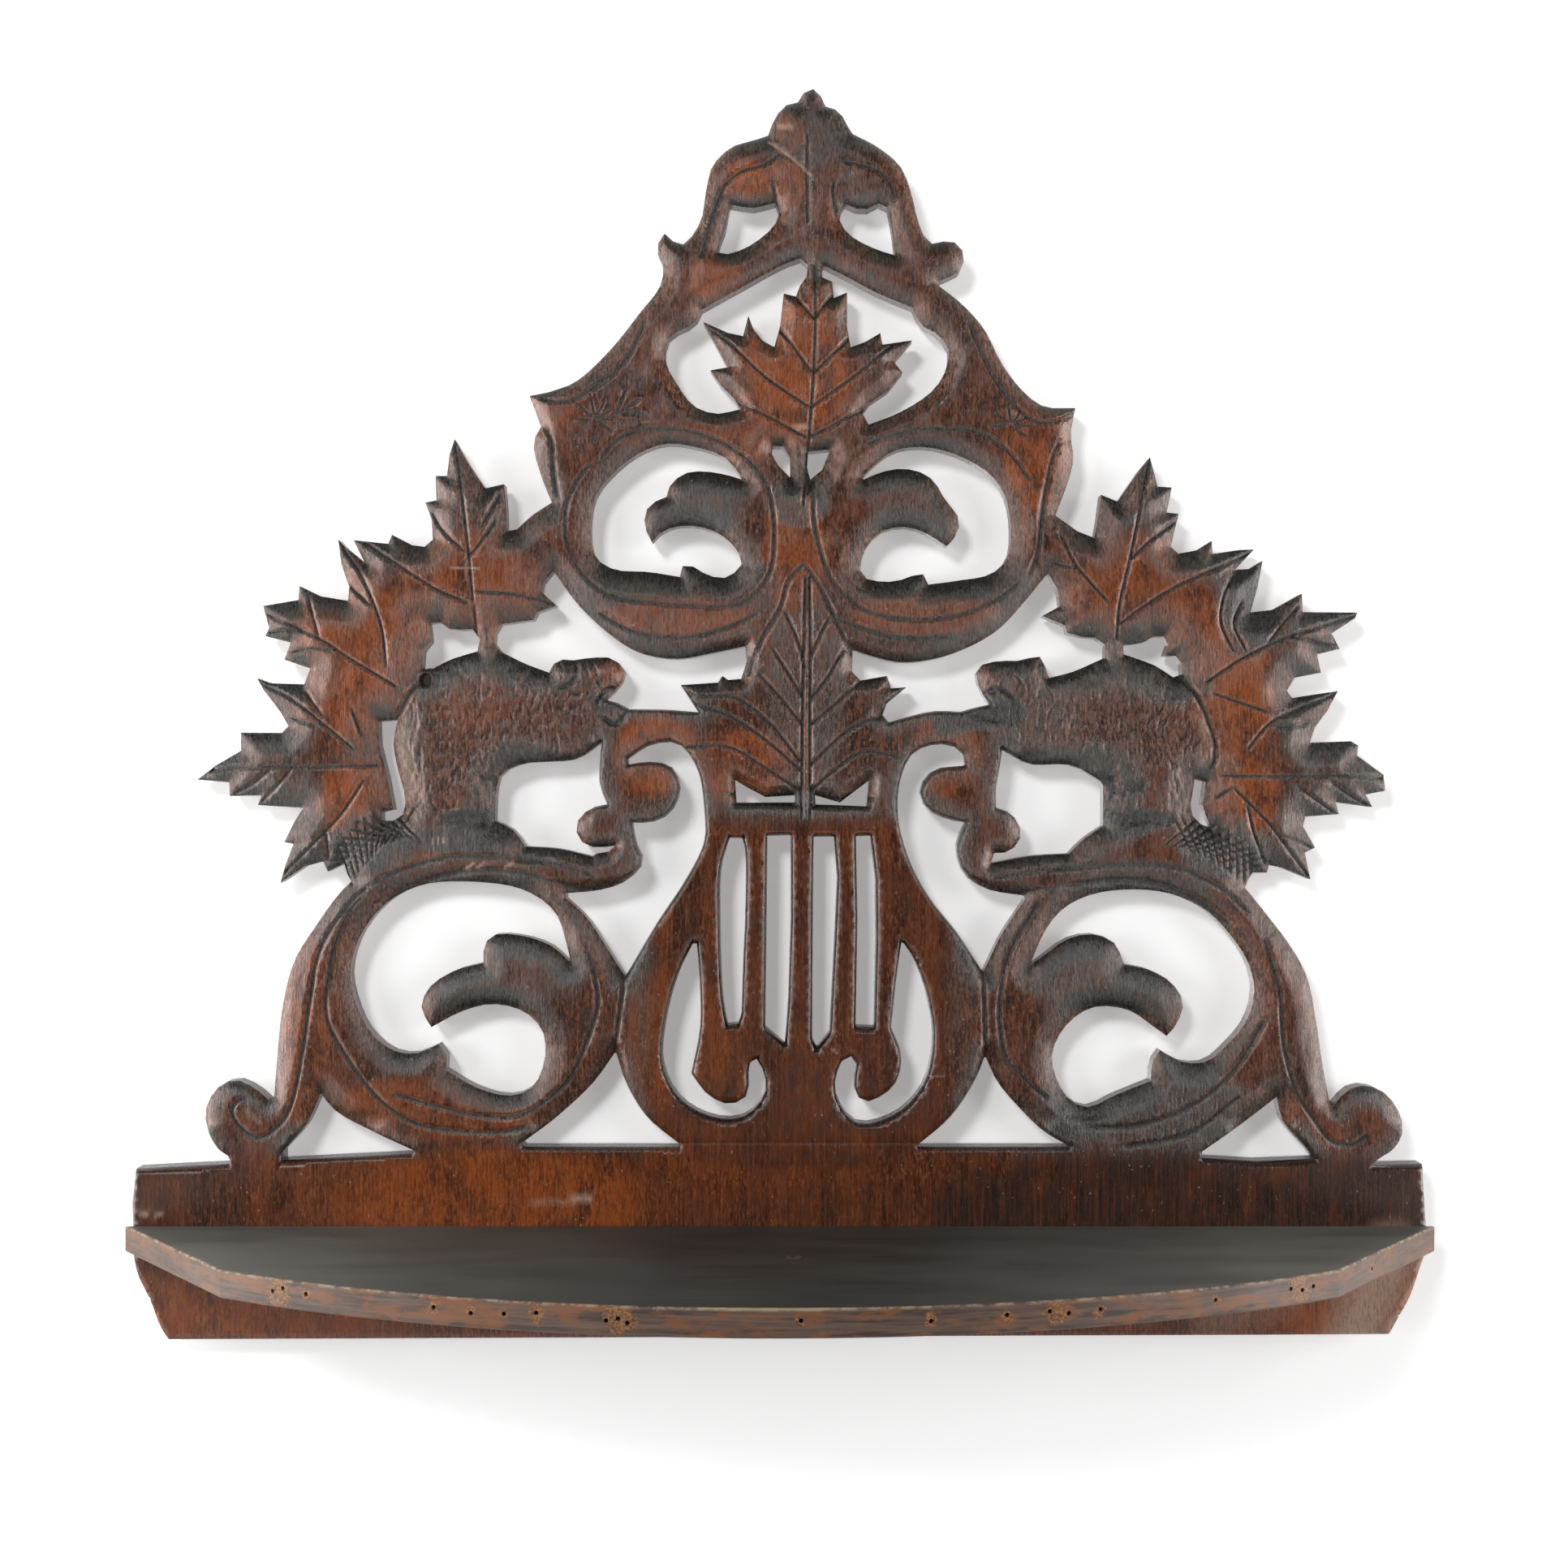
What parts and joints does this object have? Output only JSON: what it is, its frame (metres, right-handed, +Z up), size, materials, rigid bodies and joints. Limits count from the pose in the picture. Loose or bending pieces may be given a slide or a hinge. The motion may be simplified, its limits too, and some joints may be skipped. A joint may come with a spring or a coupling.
{
  "type": "carved wall shelf",
  "caption": "Wall shelf with a thin bow-fronted board under a tall pierced back, carved with beavers, a lyre, scrolled rings and maple leaves.",
  "frame": {"origin": "on the wall plane (the back face of the carved board), on its centre line, level with the top of the shelf", "axes": "+Y into the wall, +Z up, +X to the right as seen from the front; the carving and the shelf face -Y"},
  "size_m": [0.5088, 0.155, 0.4879],
  "materials": {
    "carved_wood": "dark stained, worn wax",
    "painted_wood": "worn dark paint, satin",
    "plain_wood": "dark stained, matt",
    "steel": "aged, dull"
  },
  "bodies": {
    "root": {"carved_back_panel": "carved_wood", "shelf_board": "painted_wood", "shelf_bracket": "plain_wood", "shelf_screw_1": "steel", "shelf_screw_2": "steel", "shelf_screw_3": "steel", "shelf_screw_4": "steel", "bracket_screw_upper": "steel", "bracket_screw_lower": "steel", "bracket_top_screw": "steel"}
  },
  "joints": []
}
